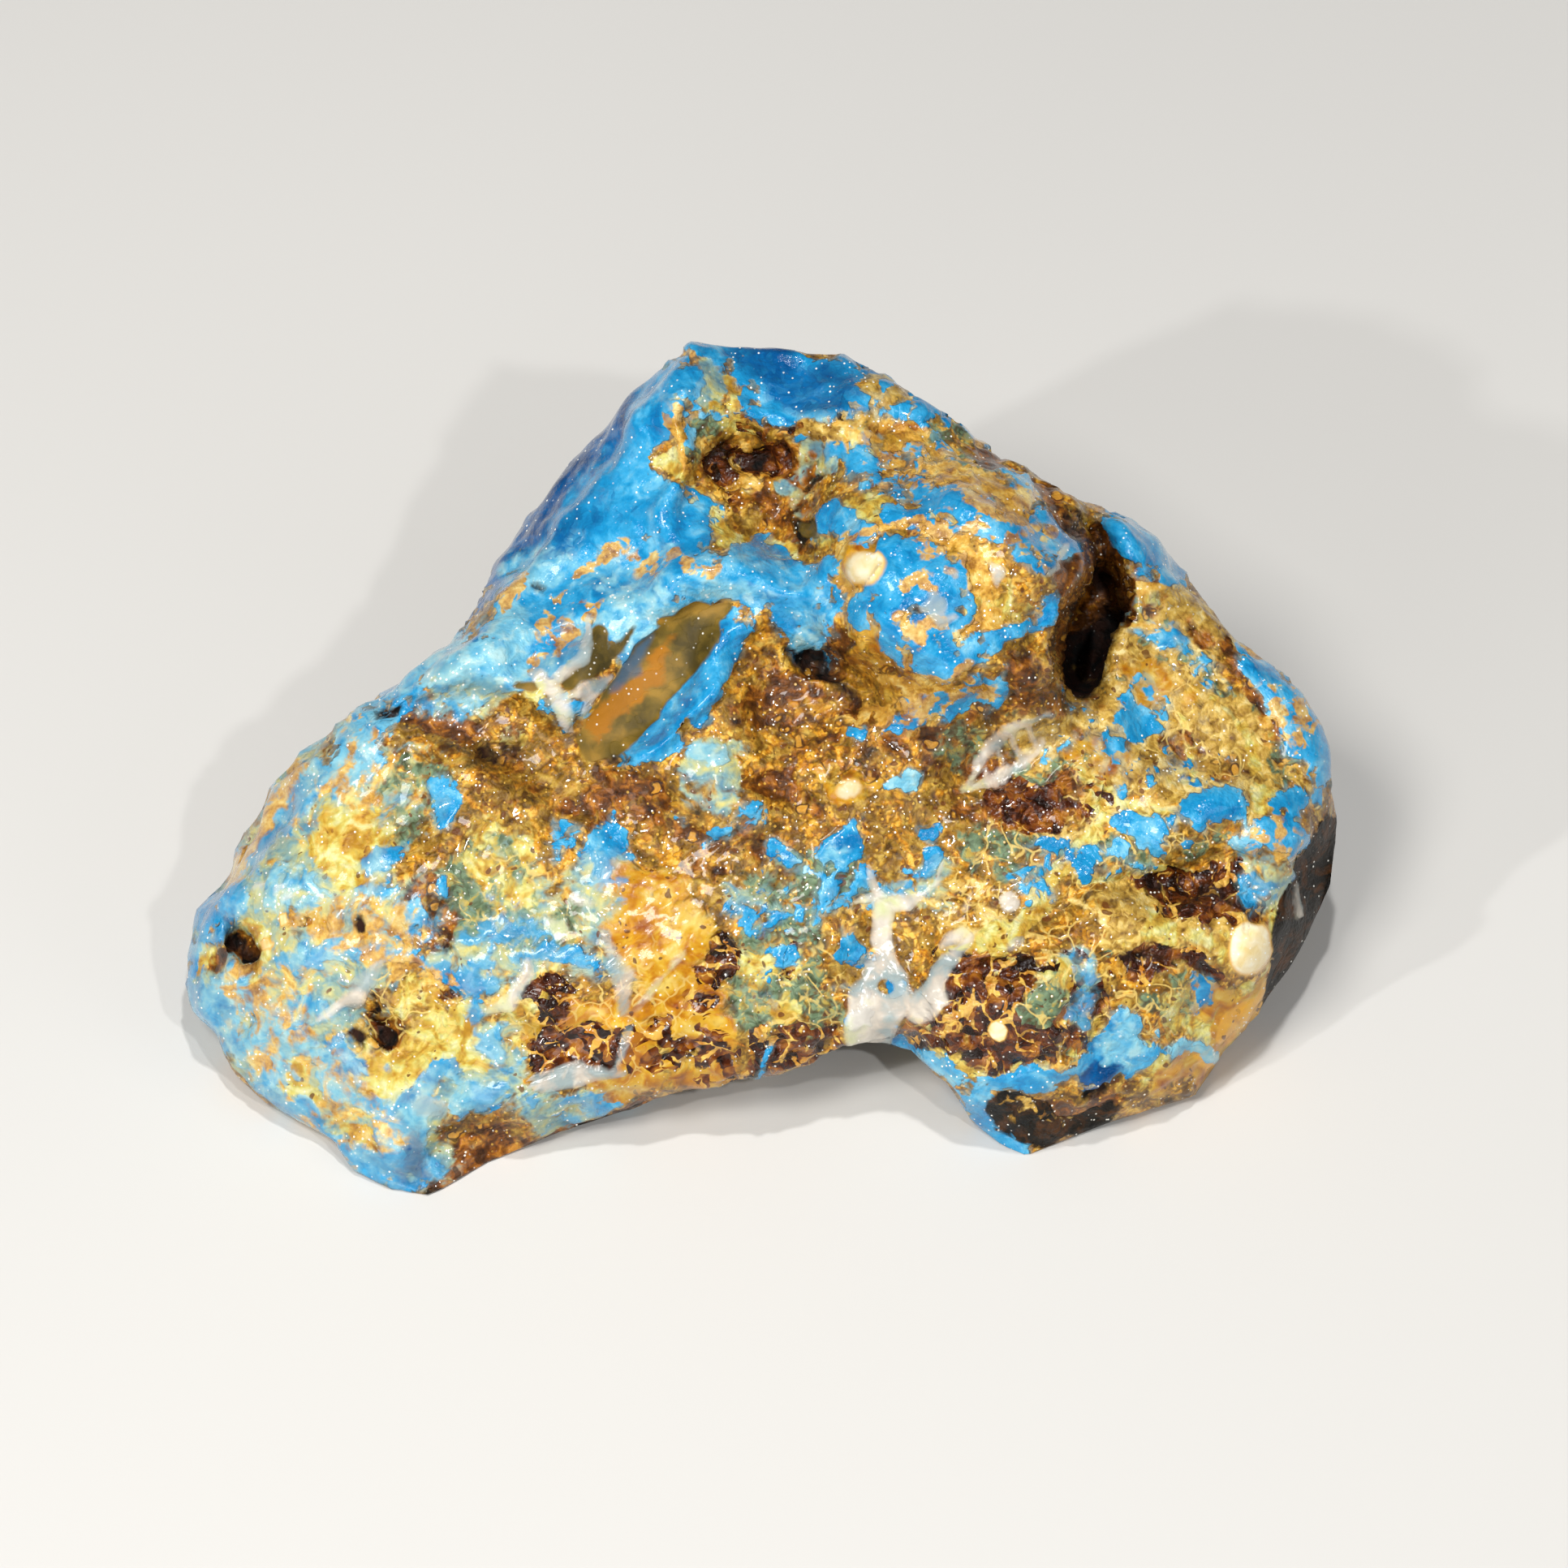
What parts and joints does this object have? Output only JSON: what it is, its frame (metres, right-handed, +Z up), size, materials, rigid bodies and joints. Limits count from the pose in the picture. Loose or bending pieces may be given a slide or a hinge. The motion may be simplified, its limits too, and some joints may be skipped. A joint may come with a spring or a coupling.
{
  "type": "rough blue amber",
  "caption": "Palm-sized natural lump of rough blue amber with a knobbed crag, a deep cleft, two lobes and a flat underside to lie on.",
  "frame": {"origin": "middle of the footprint, on the surface the lump lies on", "axes": "+Z up, +X to the right along the lump's length, -Y to the front, the side the broad broken face looks out over"},
  "size_m": [0.0713, 0.0443, 0.034],
  "materials": {
    "amber": "wet-looking glossy resin, azure skin broken by ochre and brown crust with honey windows"
  },
  "bodies": {
    "root": {"amber_lump": "amber"}
  },
  "joints": []
}
